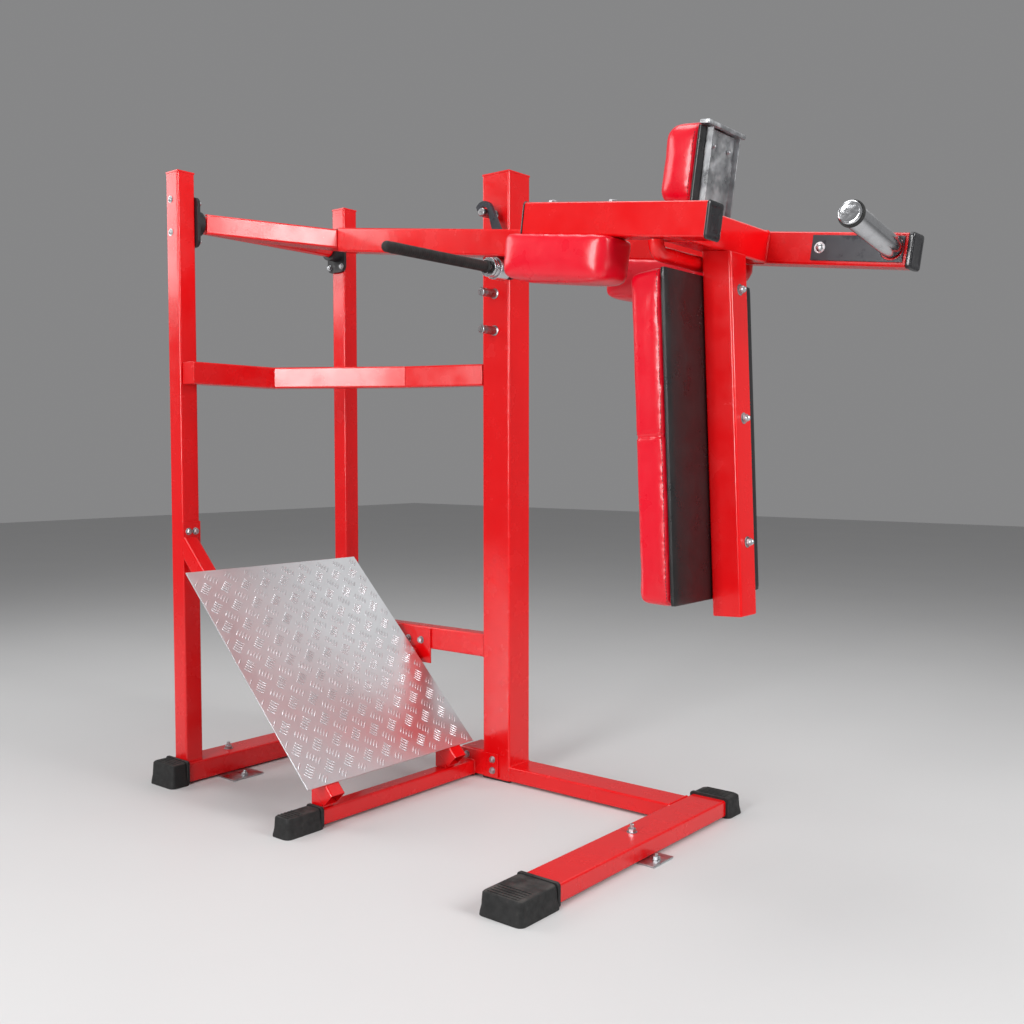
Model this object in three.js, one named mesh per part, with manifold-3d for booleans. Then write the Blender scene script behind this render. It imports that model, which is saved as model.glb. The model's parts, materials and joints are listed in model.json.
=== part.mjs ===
// Standing lever squat and leg press machine: a welded floor frame with three posts, a tread foot plate,
// a lever arm that turns between the two rear posts, and a lock handle that hooks the arm on a rack peg.
// Millimetres. +X is the front (weight horn side), +Y the side of the rack post, +Z is up, floor at z = 0.
import * as THREE from "three";
import { mergeVertices } from "three/addons/utils/BufferGeometryUtils.js";
import Module from "manifold-3d";

const wasm = await Module();
wasm.setup();

// ---- driving dimensions ----
const GAP = 0.3;                 // left between touching pieces
const WALL = 3;                  // wall of every square tube
const CORNER = 6;                // outside corner radius of the straight tubes
const CLEARANCE = 5;             // the frame's tubes stand this high on their rubber feet
const BASE_TOP = 50;             // top of the floor tubes
const REAR_BASE_TOP = 65;        // top of the rear crossbar
const POST_TOP = 1836;           // top of the three posts, below their caps
const CAP = 6;                   // thickness of an end cap
const BOOT_WALL = 4;             // rubber round a floor tube's end

const REAR_X = [-1040, -940];    // rear crossbar
const UPRIGHT_X = [-1015, -955];
const NEAR_UPRIGHT_Y = [-334, -274];
const FAR_UPRIGHT_Y = [320, 380];
const SIDE_POST_X = [-302, -197];
const SIDE_POST_Y = [288, 388];
const FRONT_BAR_X = [365, 470];
const PLATE_BAR_X = [-380, -330];

const PIVOT = new THREE.Vector3(-980, 0, 1697);   // lever arm's axle
const AXLE_RADIUS = 27;
const AXLE_Y = [-242, 272];      // thick stretch of the axle tube
const AXLE_PLAY = 3;             // from there to each bearing
const ARM_ORIGIN = new THREE.Vector3(-980, 0, 1677.7);  // of the tilted frame that holds the beams
const ARM_TILT = THREE.MathUtils.degToRad(7.66);  // the racked arm slopes down to the front
const BEAM = 75;                 // height of the lever's tubes
const ARM_TOP = 74.2;            // top of the beams in that frame
const ARM_LOW = ARM_TOP - BEAM;
const MAIN_BEAM_Y = [155, 215];
const NEAR_BEAM_Y = [-255, -195];
const MIDDLE_Y = -22.5;          // middle plane of the back pad, its post and the head rest
const SHOULDER_PAD = { near: -300, width: 135, thick: 105, rear: 266, front: 562 };

const BACK_TOP = new THREE.Vector3(648, 0, 1457.6);  // top of the back post's rear face
const BACK_LEAN = THREE.MathUtils.degToRad(2.55);    // its foot is further forward
const BACK_POST = { width: 75, depth: 73, length: 822 };
const BACK_BOARD = { thick: 12, half: 199.5, low: -781, high: -63 };
const BACK_PAD = { thick: 88, half: 202.5, low: -790, high: -52 };

const PLATE_EDGE = new THREE.Vector2(-315, 120);     // lower edge of the foot plate (x, z)
const PLATE_SLOPE = THREE.MathUtils.degToRad(45.25);
const PLATE = { length: 756, low: -399, high: 257, thick: 4 };
const RUNNER = 50;

const PEG = { x: -253, radius: 12.5, tip: 225, heights: [1714, 1598, 1482, 1372] };
const HANDLE_AXIS = { x: -157, z: 1533 };
const HOOK_PLAY = 4.5;           // round the peg

// ---- materials ----
function material(color, roughness, metalness) {
  return new THREE.MeshStandardMaterial({ color, roughness, metalness });
}
const redPaint = material(0xa3161c, 0.3, 0.1);
const redVinyl = material(0xb3262e, 0.35, 0);
const rubber = material(0x141414, 0.8, 0);
const plastic = material(0x101012, 0.35, 0);
const blackSteel = material(0x18191c, 0.4, 0.3);
const chrome = material(0xd8dade, 0.12, 1);
const galvanised = material(0xa9adb0, 0.35, 0.9);
const treadPlate = material(0xb9bcc0, 0.28, 0.9);

// ---- solids ----
function toSolid(geometry) {
  const bare = geometry.clone();
  bare.deleteAttribute("normal");
  bare.deleteAttribute("uv");
  const merged = mergeVertices(bare, 1e-4);
  const vertProperties = Float32Array.from(merged.attributes.position.array);
  const triVerts = Uint32Array.from(merged.index.array);
  return new wasm.Manifold(new wasm.Mesh({ numProp: 3, vertProperties, triVerts }));
}

function toGeometry(solid) {
  const mesh = solid.getMesh();
  const geometry = new THREE.BufferGeometry();
  geometry.setAttribute("position", new THREE.BufferAttribute(mesh.vertProperties, 3));
  geometry.setIndex(new THREE.BufferAttribute(mesh.triVerts, 1));
  return geometry;
}

function named(name, geometry, look) {
  const mesh = new THREE.Mesh(geometry, look);
  mesh.name = name;
  return mesh;
}

function boxGeometry(low, high) {
  const size = high.map((value, axis) => value - low[axis]);
  const middle = high.map((value, axis) => (value + low[axis]) / 2);
  return new THREE.BoxGeometry(...size).translate(...middle);
}

function box(name, low, high, look) {
  return named(name, boxGeometry(low, high), look);
}

function roundedRectangle(width, height, radius) {
  const x = width / 2 - radius;
  const y = height / 2 - radius;
  const outline = new THREE.Shape();
  outline.absarc(x, y, radius, 0, Math.PI / 2);
  outline.absarc(-x, y, radius, Math.PI / 2, Math.PI);
  outline.absarc(-x, -y, radius, Math.PI, 1.5 * Math.PI);
  outline.absarc(x, -y, radius, 1.5 * Math.PI, 2 * Math.PI);
  return outline;
}

function extrude(shape, depth, curveSegments = 8) {
  return new THREE.ExtrudeGeometry(shape, { depth, bevelEnabled: false, curveSegments });
}

function tubeSection(width, height) {
  const section = roundedRectangle(width, height, CORNER);
  section.holes.push(roundedRectangle(width - 2 * WALL, height - 2 * WALL, CORNER - WALL));
  return section;
}

// An open square tube that fills low..high; `along` is the axis letter that it runs on.
function squareTube(name, low, high, along, look = redPaint) {
  const size = new THREE.Vector3(...high).sub(new THREE.Vector3(...low));
  const axes = { x: ["z", "y"], y: ["x", "z"], z: ["x", "y"] }[along];
  const [width, height] = axes.map((axis) => size[axis]);
  const length = size[along];
  const geometry = extrude(tubeSection(width, height), length, 2);
  geometry.translate(0, 0, -length / 2);
  if (along === "x") geometry.rotateY(Math.PI / 2);
  if (along === "y") geometry.rotateX(Math.PI / 2);
  const mesh = named(name, geometry, look);
  mesh.position.set(...low).add(new THREE.Vector3(...high)).multiplyScalar(0.5);
  return mesh;
}

// A tube whose ends are cut aslant: `outline` is its side, from..to its middle line in that plane.
function slantedTube(outline, depth, from, to, width) {
  const run = new THREE.Vector2().subVectors(to, from);
  const length = run.length() + 4 * width;
  const section = tubeSection(depth, width - 0.02);
  const bar = extrude(section, length, 2);
  bar.translate(0, 0, -length / 2).rotateY(Math.PI / 2).rotateZ(run.angle());
  bar.translate((from.x + to.x) / 2, (from.y + to.y) / 2, depth / 2);
  const limits = extrude(new THREE.Shape(outline), depth + 2).translate(0, 0, -1);
  return toGeometry(toSolid(bar).intersect(toSolid(limits)));
}

// Turns an extrusion drawn in (x, z) upright, so that it fills y from low to high.
function standUp(geometry, high) {
  return geometry.rotateX(Math.PI / 2).translate(0, high, 0);
}

function sideSlab(name, outline, low, high, look) {
  return named(name, standUp(extrude(outline, high - low), high), look);
}

// A lathe about the y axis from (radius, y) pairs.
function turned(name, profile, look, segments = 24) {
  const points = profile.map(([radius, y]) => new THREE.Vector2(radius, y));
  return named(name, new THREE.LatheGeometry(points, segments), look);
}

// A rubber cup over a floor tube's end; `open` is the y of its mouth and `end` that of its outer face.
function boot(name, xRange, top, open, end, tubeEnd) {
  const side = Math.sign(end - open);
  const yRange = (from, to) => [Math.min(from, to), Math.max(from, to)];
  const [low, high] = yRange(open, end);
  const [holeLow, holeHigh] = yRange(open - 10 * side, tubeEnd + GAP * side);
  const outer = boxGeometry([xRange[0] - BOOT_WALL, low, 0], [xRange[1] + BOOT_WALL, high, top + BOOT_WALL]);
  const holeBottom = CLEARANCE - GAP;
  const hole = boxGeometry([xRange[0] - GAP, holeLow, holeBottom], [xRange[1] + GAP, holeHigh, top + GAP]);
  return named(name, toGeometry(toSolid(outer).subtract(toSolid(hole))), rubber);
}

// ---- floor frame ----
function floorFrame() {
  const z = [CLEARANCE, BASE_TOP];
  const stubX = [-390, SIDE_POST_X[0] - GAP];
  const railX = [SIDE_POST_X[1] + GAP, FRONT_BAR_X[0] - GAP];
  const flangeY = [SIDE_POST_Y[0] - GAP - 6, SIDE_POST_Y[0] - GAP];
  const footTop = CLEARANCE - GAP;
  const [postX, postY] = [SIDE_POST_X, SIDE_POST_Y];
  return [
    squareTube("front_crossbar", [FRONT_BAR_X[0], -440, z[0]], [FRONT_BAR_X[1], 440, z[1]], "y"),
    squareTube("base_rail", [railX[0], SIDE_POST_Y[0], z[0]], [railX[1], SIDE_POST_Y[1], z[1]], "x"),
    squareTube("rear_crossbar", [REAR_X[0], -375, z[0]], [REAR_X[1], 400, REAR_BASE_TOP], "y"),
    squareTube("plate_crossbar", [PLATE_BAR_X[0], -420, z[0]], [PLATE_BAR_X[1], flangeY[0] - GAP, z[1]], "y"),
    squareTube("side_post_stub", [stubX[0], SIDE_POST_Y[0], z[0]], [stubX[1], SIDE_POST_Y[1], 85], "x"),
    box("plate_crossbar_flange", [-392, flangeY[0], 10], [-238, flangeY[1], 82], redPaint),
    boot("front_boot_near", FRONT_BAR_X, BASE_TOP, -350, -495, -440),
    boot("front_boot_far", FRONT_BAR_X, BASE_TOP, 412, 495, 440),
    boot("rear_boot_near", REAR_X, REAR_BASE_TOP, -336, -402, -375),
    boot("rear_boot_far", REAR_X, REAR_BASE_TOP, 386, 430, 400),
    boot("plate_crossbar_boot", PLATE_BAR_X, BASE_TOP, -336, -465, -420),
    box("front_anchor_tab", [430, -23, 0], [513, 67, footTop], galvanised),
    box("rear_anchor_tab", [-960, -232, 0], [-858, -120, footTop], galvanised),
    box("side_post_foot", [postX[0], postY[0], 0], [postX[1], postY[1], footTop], rubber),
  ];
}

// ---- posts ----
function post(name, xRange, yRange, bottom) {
  const cap = [POST_TOP + GAP, POST_TOP + CAP];
  return [
    squareTube(name, [xRange[0], yRange[0], bottom], [xRange[1], yRange[1], POST_TOP], "z"),
    box(`${name}_cap`, [xRange[0], yRange[0], cap[0]], [xRange[1], yRange[1], cap[1]], redPaint),
  ];
}

function pegs() {
  const base = SIDE_POST_Y[0] - GAP;
  const { radius, tip } = PEG;
  return PEG.heights.map((height, index) => {
    const profile = [[0, tip], [radius - 3, tip], [radius, tip + 3], [radius, base], [0, base]];
    const peg = turned(`rack_peg_${index + 1}`, profile, chrome, 20);
    peg.position.set(PEG.x, 0, height);
    return peg;
  });
}

// A flanged bearing on an upright's inner face; it reaches from the face at `wall` to `inner`.
function bearing(name, wall, inner) {
  const side = Math.sign(inner - wall);
  const flange = extrude(roundedRectangle(84, 148, 20), 10, 4);
  standUp(flange, wall + (side > 0 ? 10 : 0)).translate(PIVOT.x - 5, 0, PIVOT.z);
  const reach = Math.abs(inner - wall);
  const middle = (inner + wall) / 2;
  const barrel = new THREE.CylinderGeometry(38, 38, reach, 32).translate(PIVOT.x, middle, PIVOT.z);
  const bore = new THREE.CylinderGeometry(20.4, 20.4, reach + 20, 32).translate(PIVOT.x, middle, PIVOT.z);
  const solid = toSolid(flange).add(toSolid(barrel)).subtract(toSolid(bore));
  return named(name, toGeometry(solid), blackSteel);
}

// ---- rails between the posts ----
// The mid rail runs across the near upright, then in two bends to the side post.
function midRail() {
  const bottom = 1209;
  const height = 66;
  const thick = 55;
  const names = ["mid_rail_rear", "mid_rail_diagonal", "mid_rail_front"];
  const front = [
    new THREE.Vector2(-899.7, -325),
    new THREE.Vector2(-899.7, -27),
    new THREE.Vector2(-546, 201),
    new THREE.Vector2(SIDE_POST_X[0] - GAP, 287),
  ];
  const runs = names.map((_, i) => new THREE.Vector2().subVectors(front[i + 1], front[i]).normalize());
  const normals = runs.map((run) => new THREE.Vector2(-run.y, run.x));
  const back = front.map((point, i) => {
    if (i === 0) return point.clone().addScaledVector(normals[0], thick);
    if (i === names.length) {
      const corner = point.clone().addScaledVector(normals[i - 1], thick);
      return corner.addScaledVector(runs[i - 1], (point.x - corner.x) / runs[i - 1].x);
    }
    const mitre = new THREE.Vector2().addVectors(normals[i - 1], normals[i]).normalize();
    return point.clone().addScaledVector(mitre, thick / mitre.dot(normals[i]));
  });
  return names.map((name, i) => {
    const shift = runs[i].clone().multiplyScalar(GAP / 2);
    const start = [front[i], back[i]].map((point) => point.clone().add(shift));
    const end = [front[i + 1], back[i + 1]].map((point) => point.clone().sub(shift));
    const from = start[0].clone().lerp(start[1], 0.5);
    const to = end[0].clone().lerp(end[1], 0.5);
    const outline = [start[0], end[0], end[1], start[1]];
    const mesh = named(name, slantedTube(outline, height, from, to, thick), redPaint);
    mesh.position.z = bottom;
    return mesh;
  });
}

function lowerRail() {
  const low = [UPRIGHT_X[1] + GAP, 290, 375];
  const high = [SIDE_POST_X[0] - GAP, 340, 446];
  const flange = boxGeometry([-640, 284, 330], [-522, 290 - GAP, 442]);
  const tie = boxGeometry([-620, 202 + GAP, 335], [-580, 285, 375]);
  return [
    squareTube("lower_rail", low, high, "x"),
    named("runner_tie", toGeometry(toSolid(flange).add(toSolid(tie))), redPaint),
  ];
}

// ---- foot plate and its two runners ----
// A point `up` the slope and `out` of the plate's top surface, in (x, z).
function onSlope(up, out) {
  const x = PLATE_EDGE.x - up * Math.cos(PLATE_SLOPE) + out * Math.sin(PLATE_SLOPE);
  const z = PLATE_EDGE.y + up * Math.sin(PLATE_SLOPE) + out * Math.cos(PLATE_SLOPE);
  return new THREE.Vector2(x, z);
}

function runner(name, low, upper) {
  const top = -PLATE.thick - GAP;
  const bottom = top - RUNNER;
  const outline = [onSlope(-35, bottom), onSlope(-35, top), upper(top), upper(bottom)];
  const from = onSlope(-35, (top + bottom) / 2);
  const to = upper((top + bottom) / 2);
  return named(name, standUp(slantedTube(outline, RUNNER, from, to, RUNNER), low + RUNNER), redPaint);
}

// The wedge that carries a runner on the crossbar below it.
function saddle(name, low) {
  const under = -PLATE.thick - RUNNER - 2 * GAP;
  const heightAt = (x) => onSlope(0, under).y + (onSlope(0, under).x - x) * Math.tan(PLATE_SLOPE);
  const front = PLATE_BAR_X[1] - 8;
  const rear = PLATE_BAR_X[0];
  const outline = new THREE.Shape([
    new THREE.Vector2(rear, BASE_TOP + GAP),
    new THREE.Vector2(front, BASE_TOP + GAP),
    new THREE.Vector2(front, heightAt(front)),
    new THREE.Vector2(rear, heightAt(rear)),
  ]);
  return sideSlab(name, outline, low + 5, low + RUNNER - 5, redPaint);
}

function footPlate() {
  const lip = UPRIGHT_X[1] + GAP + 6 + GAP;
  const toUpright = (out) => {
    const edge = onSlope(0, out);
    return new THREE.Vector2(lip, edge.y + (edge.x - lip) * Math.tan(PLATE_SLOPE));
  };
  const plate = new THREE.Shape([
    onSlope(0, -PLATE.thick),
    onSlope(0, 0),
    onSlope(PLATE.length, 0),
    onSlope(PLATE.length, -PLATE.thick),
  ]);
  return [
    sideSlab("foot_plate", plate, PLATE.low, PLATE.high, treadPlate),
    runner("plate_runner_near", -337, toUpright),
    runner("plate_runner_far", 152, (out) => onSlope(PLATE.length - 20, out)),
    box("runner_bracket", [UPRIGHT_X[1] + GAP, -336, 665], [lip - GAP, -276, 798], redPaint),
    saddle("runner_saddle_near", -337),
    saddle("runner_saddle_far", 152),
  ];
}

// ---- lever arm, in a tilted frame with its origin under the axle and x along the beams ----
// The place along the arm of a point at the given x of the whole machine and height z of the arm.
function alongArm(x, z = ARM_TOP) {
  return (x - ARM_ORIGIN.x - z * Math.sin(ARM_TILT)) / Math.cos(ARM_TILT);
}

function armTube(name, xRange, yRange, along) {
  return squareTube(name, [xRange[0], yRange[0], ARM_LOW], [xRange[1], yRange[1], ARM_TOP], along);
}

function mainBeam() {
  const front = alongArm(1038);
  const outline = [
    new THREE.Vector2(alongArm(-800, ARM_LOW), ARM_LOW),
    new THREE.Vector2(front, ARM_LOW),
    new THREE.Vector2(front, ARM_TOP),
    new THREE.Vector2(alongArm(-800, ARM_TOP), ARM_TOP),
  ];
  const level = (ARM_TOP + ARM_LOW) / 2;
  const from = new THREE.Vector2(alongArm(-800), level);
  const [near, far] = MAIN_BEAM_Y;
  const tube = slantedTube(outline, far - near, from, new THREE.Vector2(front, level), BEAM);
  return [
    named("main_beam", standUp(tube, far), redPaint),
    box("main_beam_cap", [front + GAP, near, ARM_LOW], [front + 13, far, ARM_TOP], plastic),
  ];
}

function shoulderFrame() {
  const rear = alongArm(298);
  const front = alongArm(773);
  const cross = alongArm(634);
  const { near: outer, width, thick } = SHOULDER_PAD;
  const padX = [alongArm(SHOULDER_PAD.rear), alongArm(SHOULDER_PAD.front)];
  const padTop = ARM_LOW - GAP;
  const padAt = (name, low) =>
    box(name, [padX[0], low, padTop - thick], [padX[1], low + width, padTop], redVinyl);
  const near = NEAR_BEAM_Y;
  return [
    armTube("shoulder_beam", [rear, front], near, "x"),
    box("shoulder_beam_cap_rear", [rear - CAP, near[0], ARM_LOW], [rear - GAP, near[1], ARM_TOP], plastic),
    box("shoulder_beam_cap_front", [front + GAP, near[0], ARM_LOW], [front + CAP, near[1], ARM_TOP], plastic),
    armTube("cross_beam", [cross, cross + BEAM], [near[1] + GAP, MAIN_BEAM_Y[0] - GAP], "y"),
    padAt("shoulder_pad_near", outer),
    padAt("shoulder_pad_far", 2 * MIDDLE_Y - outer - width),
  ];
}

function headRest() {
  const [rear, front] = [1530, 1634.4];
  const halfPad = 91.5;
  const halfPlate = 62;
  const padLow = [rear, MIDDLE_Y - halfPad, 88];
  const padHigh = [front, MIDDLE_Y + halfPad, 277];
  const plateLow = [front + GAP, MIDDLE_Y - halfPlate, ARM_TOP + GAP];
  const plateHigh = [front + 4, MIDDLE_Y + halfPlate, 262];
  return [
    box("head_rest", padLow, padHigh, redVinyl),
    box("head_rest_plate", plateLow, plateHigh, galvanised),
  ];
}

function axle() {
  const [near, far] = AXLE_Y;
  const nearEnd = NEAR_UPRIGHT_Y[1] + 8;
  const farEnd = FAR_UPRIGHT_Y[0] - 8;
  const outer = AXLE_RADIUS;
  const profile = [
    [12, nearEnd], [20, nearEnd], [20, near], [outer, near],
    [outer, far], [20, far], [20, farEnd], [12, farEnd],
  ];
  const tube = turned("torque_tube", [...profile, profile[0]], redPaint);
  tube.position.copy(PIVOT);
  return tube;
}

// The link from the axle to the main beam's rear end, level and skewed in plan.
function rearLink() {
  const width = 60;
  const height = 60;
  const axleFront = PIVOT.x + AXLE_RADIUS + GAP;
  const beamRear = -800 - GAP;
  const nearEnd = new THREE.Vector2(-940, AXLE_Y[0]);
  const run = new THREE.Vector2(-800, 175).sub(nearEnd).normalize();
  const side = new THREE.Vector2(-run.y, run.x).multiplyScalar(width);
  const rearEnd = nearEnd.clone().add(side);
  const atX = (start, x) => start.clone().addScaledVector(run, (x - start.x) / run.x);
  const atY = (start, y) => start.clone().addScaledVector(run, (y - start.y) / run.y);
  const outline = [
    new THREE.Vector2(axleFront, nearEnd.y),
    nearEnd,
    atX(nearEnd, beamRear),
    new THREE.Vector2(beamRear, MAIN_BEAM_Y[1]),
    atY(rearEnd, MAIN_BEAM_Y[1]),
    atX(rearEnd, axleFront),
  ];
  const half = side.clone().multiplyScalar(0.5);
  const from = nearEnd.clone().add(half);
  const to = atY(rearEnd, MAIN_BEAM_Y[1]).sub(half);
  const link = named("rear_link", slantedTube(outline, height, from, to, width), redPaint);
  link.position.z = PIVOT.z + AXLE_RADIUS - height;
  return link;
}

// Weight horn: a chrome sleeve on the main beam's near face, tipped up at its free end.
// A guard plate on the same face has a hole round it.
function weightHorn() {
  const root = new THREE.Vector3(1000, MAIN_BEAM_Y[0] - GAP, 1451.7);
  const tilt = THREE.MathUtils.degToRad(9);
  const length = 240;
  const radius = 25;
  const rim = radius + 4;
  const sunk = 10;
  const profile = [[0, -sunk], [radius, -sunk], [radius, length - 14], [rim, length - 14], [rim, length - 6],
    [radius - 1, length - 6], [radius - 1, length], [0, length]];
  const horn = new THREE.LatheGeometry(profile.map(([r, y]) => new THREE.Vector2(r, y)), 32);
  horn.rotateX(Math.PI - tilt).translate(root.x, root.y, root.z);
  const beyond = boxGeometry([root.x - 60, root.y, root.z - 60], [root.x + 60, root.y + 60, root.z + 60]);
  const guardY = [MAIN_BEAM_Y[0] - 4 - GAP, MAIN_BEAM_Y[0] - GAP];
  const plate = boxGeometry([alongArm(820), guardY[0], 9], [alongArm(1032), guardY[1], 66]);
  const onArm = root.clone().sub(ARM_ORIGIN).applyAxisAngle(new THREE.Vector3(0, 1, 0), -ARM_TILT);
  const hole = new THREE.CylinderGeometry(radius + 2, radius + 2, 40, 32);
  hole.translate(onArm.x, guardY[0], onArm.z);
  return {
    horn: named("weight_horn", toGeometry(toSolid(horn).subtract(toSolid(beyond))), chrome),
    guard: named("horn_guard_plate", toGeometry(toSolid(plate).subtract(toSolid(hole))), blackSteel),
  };
}

// A bent round tube under the beams, past the back post's rear face.
function brace() {
  const radius = 17.5;
  const bend = 27;
  const low = 1430.4;
  const x = BACK_TOP.x + 1 - radius - GAP;
  const nearY = (NEAR_BEAM_Y[0] + NEAR_BEAM_Y[1]) / 2;
  const farY = (MAIN_BEAM_Y[0] + MAIN_BEAM_Y[1]) / 2;
  const at = (y, z) => new THREE.Vector3(x, y, z);
  const path = new THREE.CurvePath();
  path.add(new THREE.QuadraticBezierCurve3(at(nearY, low + bend), at(nearY, low), at(nearY + bend, low)));
  path.add(new THREE.LineCurve3(at(nearY + bend, low), at(farY - bend, low)));
  path.add(new THREE.QuadraticBezierCurve3(at(farY - bend, low), at(farY, low), at(farY, low + bend)));
  const section = new THREE.Shape().absarc(0, 0, radius, 0, 2 * Math.PI);
  section.holes.push(new THREE.Path().absarc(0, 0, radius - WALL, 0, 2 * Math.PI));
  const geometry = new THREE.ExtrudeGeometry(section, { steps: 30, extrudePath: path, curveSegments: 6 });
  return named("brace", geometry, redPaint);
}

// Back post, board and pad, in a frame with its origin at the top of the post's rear face.
function backRest() {
  const { width, depth, length } = BACK_POST;
  const slant = depth * Math.tan(ARM_TILT + BACK_LEAN);
  const outline = [
    new THREE.Vector2(0, -length),
    new THREE.Vector2(depth, -length),
    new THREE.Vector2(depth, -slant),
    new THREE.Vector2(0, 0),
  ];
  const middle = depth / 2;
  const foot = new THREE.Vector2(middle, -length);
  const head = new THREE.Vector2(middle, 0);
  const tube = slantedTube(outline, width, foot, head, depth);
  const board = BACK_BOARD;
  const boardFace = -GAP - board.thick;
  const pad = BACK_PAD;
  const padFace = boardFace - GAP;
  const across = (half) => [MIDDLE_Y - half, MIDDLE_Y + half];
  const boardY = across(board.half);
  const padY = across(pad.half);
  return [
    named("back_post", standUp(tube, MIDDLE_Y + width / 2), redPaint),
    box("back_board", [boardFace, boardY[0], board.low], [-GAP, boardY[1], board.high], blackSteel),
    box("back_pad", [padFace - pad.thick, padY[0], pad.low], [padFace, padY[1], pad.high], redVinyl),
  ];
}

// ---- lock handle ----
function handleBearing() {
  const bore = 11.4;
  const profile = [[bore, 145], [28, 145], [28, 153], [22, 153], [22, 157], [28, 157], [28, 165], [24, 165],
    [24, 170], [32, 170], [32, 212], [bore, 212]];
  return turned("handle_bearing", [...profile, profile[0]], chrome);
}

// The hook plate, drawn with the peg straight above the handle's axis and then turned to it.
function hook() {
  const hub = 25;
  const reach = new THREE.Vector2(PEG.x - HANDLE_AXIS.x, PEG.heights[0] - HANDLE_AXIS.z);
  const distance = reach.length();
  const inner = PEG.radius + HOOK_PLAY;
  const outer = inner + 17;
  const outline = new THREE.Shape();
  outline.absarc(0, 0, hub, Math.PI, 2 * Math.PI);
  outline.absarc(0, distance, outer, 0, THREE.MathUtils.degToRad(118));
  outline.lineTo(-inner, distance + inner);
  outline.lineTo(0, distance + inner);
  outline.absarc(0, distance, inner, Math.PI / 2, THREE.MathUtils.degToRad(-20), true);
  const geometry = extrude(outline, 12, 10);
  geometry.rotateZ(reach.angle() - Math.PI / 2);
  return named("hook_plate", standUp(geometry, 248), blackSteel);
}

function lockHandle() {
  const [near, far] = [-268, 138];
  const rod = 11;
  const skin = rod + GAP;
  const wall = 4;
  const grip = [
    [0, near], [12, near], [skin + wall, near + 6], [skin + wall, far],
    [skin, far], [skin, near + 5], [0, near + 5],
  ];
  return [
    turned("handle_rod", [[0, near + 6], [rod, near + 6], [rod, 236 - GAP], [0, 236 - GAP]], chrome, 20),
    turned("handle_grip", grip, rubber, 20),
    hook(),
  ];
}

// ---- the whole machine ----
function groupAt(position, turn, meshes) {
  const group = new THREE.Group();
  group.position.copy(position);
  group.rotation.y = turn;
  group.add(...meshes);
  return group;
}

const frame = new THREE.Group();
frame.add(
  ...floorFrame(),
  ...post("upright_near", UPRIGHT_X, NEAR_UPRIGHT_Y, REAR_BASE_TOP + GAP),
  ...post("upright_far", UPRIGHT_X, FAR_UPRIGHT_Y, REAR_BASE_TOP + GAP),
  ...post("side_post", SIDE_POST_X, SIDE_POST_Y, CLEARANCE),
  ...pegs(),
  bearing("bearing_near", NEAR_UPRIGHT_Y[1] + GAP, AXLE_Y[0] - AXLE_PLAY),
  bearing("bearing_far", FAR_UPRIGHT_Y[0] - GAP, AXLE_Y[1] + AXLE_PLAY),
  ...midRail(),
  ...lowerRail(),
  ...footPlate(),
);

const { horn, guard } = weightHorn();
const handleCentre = new THREE.Vector3(HANDLE_AXIS.x, 0, HANDLE_AXIS.z);
const leverArm = new THREE.Group();
leverArm.add(
  groupAt(ARM_ORIGIN, ARM_TILT, [...mainBeam(), ...shoulderFrame(), ...headRest(), guard]),
  groupAt(BACK_TOP, -BACK_LEAN, backRest()),
  groupAt(handleCentre, 0, [handleBearing()]),
  axle(),
  rearLink(),
  horn,
  brace(),
);

const group = new THREE.Group();
group.add(frame, leverArm, groupAt(handleCentre, 0, lockHandle()));

export default group;
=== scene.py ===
# Looks for the standing lever squat and leg press machine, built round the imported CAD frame.
# Metres throughout. +X is the front, +Y the rack post's side, +Z is up.
import json
import math

import bmesh
import bpy
from mathutils import Matrix, Vector, noise
from mathutils.bvhtree import BVHTree


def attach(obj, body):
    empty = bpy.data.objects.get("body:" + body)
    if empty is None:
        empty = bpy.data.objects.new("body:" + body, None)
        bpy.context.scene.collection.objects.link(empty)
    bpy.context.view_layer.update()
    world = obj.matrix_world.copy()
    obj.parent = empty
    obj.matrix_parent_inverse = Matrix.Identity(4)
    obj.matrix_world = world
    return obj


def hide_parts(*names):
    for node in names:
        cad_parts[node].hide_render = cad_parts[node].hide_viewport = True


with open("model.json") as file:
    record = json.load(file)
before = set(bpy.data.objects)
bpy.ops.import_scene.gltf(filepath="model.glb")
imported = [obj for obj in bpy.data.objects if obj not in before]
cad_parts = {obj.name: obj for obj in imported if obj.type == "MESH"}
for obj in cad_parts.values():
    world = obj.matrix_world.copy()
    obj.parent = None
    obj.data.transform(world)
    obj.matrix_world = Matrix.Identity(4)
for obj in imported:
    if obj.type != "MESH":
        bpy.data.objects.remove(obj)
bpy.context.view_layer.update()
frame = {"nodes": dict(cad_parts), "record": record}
JOINTS = {joint["name"]: joint for joint in frame["record"]["behaviour"]["joints"]}
ARM_TILT = math.radians(7.66)
BACK_LEAN = math.radians(2.55)
SLOPE = math.radians(45.25)
STEEL_EDGE = 0.0008                         # rounding of the tubes' and plates' edges
BAR_HALF = 0.0130                           # tread bar: half its length
BAR_STEP = 0.0092                           # from one bar of a group to the next
BAR_HALF_WIDTH = 0.0028
BAR_HEIGHT = 0.0016
STITCH = 0.0042
STITCH_GAP = 0.0030
STITCH_SUNK = 0.0002

PIVOT = Vector(JOINTS["lever_arm_hinge"]["pos_m"])
ARM_ORIGIN = Vector((PIVOT.x, 0, 1.6777))  # of the tilted frame that holds the beams
HANDLE = Vector(JOINTS["lock_handle_hinge"]["pos_m"])
WORLD = Matrix.Identity(4)
ARM = Matrix.Translation(ARM_ORIGIN) @ Matrix.Rotation(ARM_TILT, 4, "Y")
BACK = Matrix.Rotation(-BACK_LEAN, 4, "Y")
RAMP = Matrix.Rotation(SLOPE, 4, "Y")      # local -X runs up the foot plate, local +Z stands off it


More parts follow.
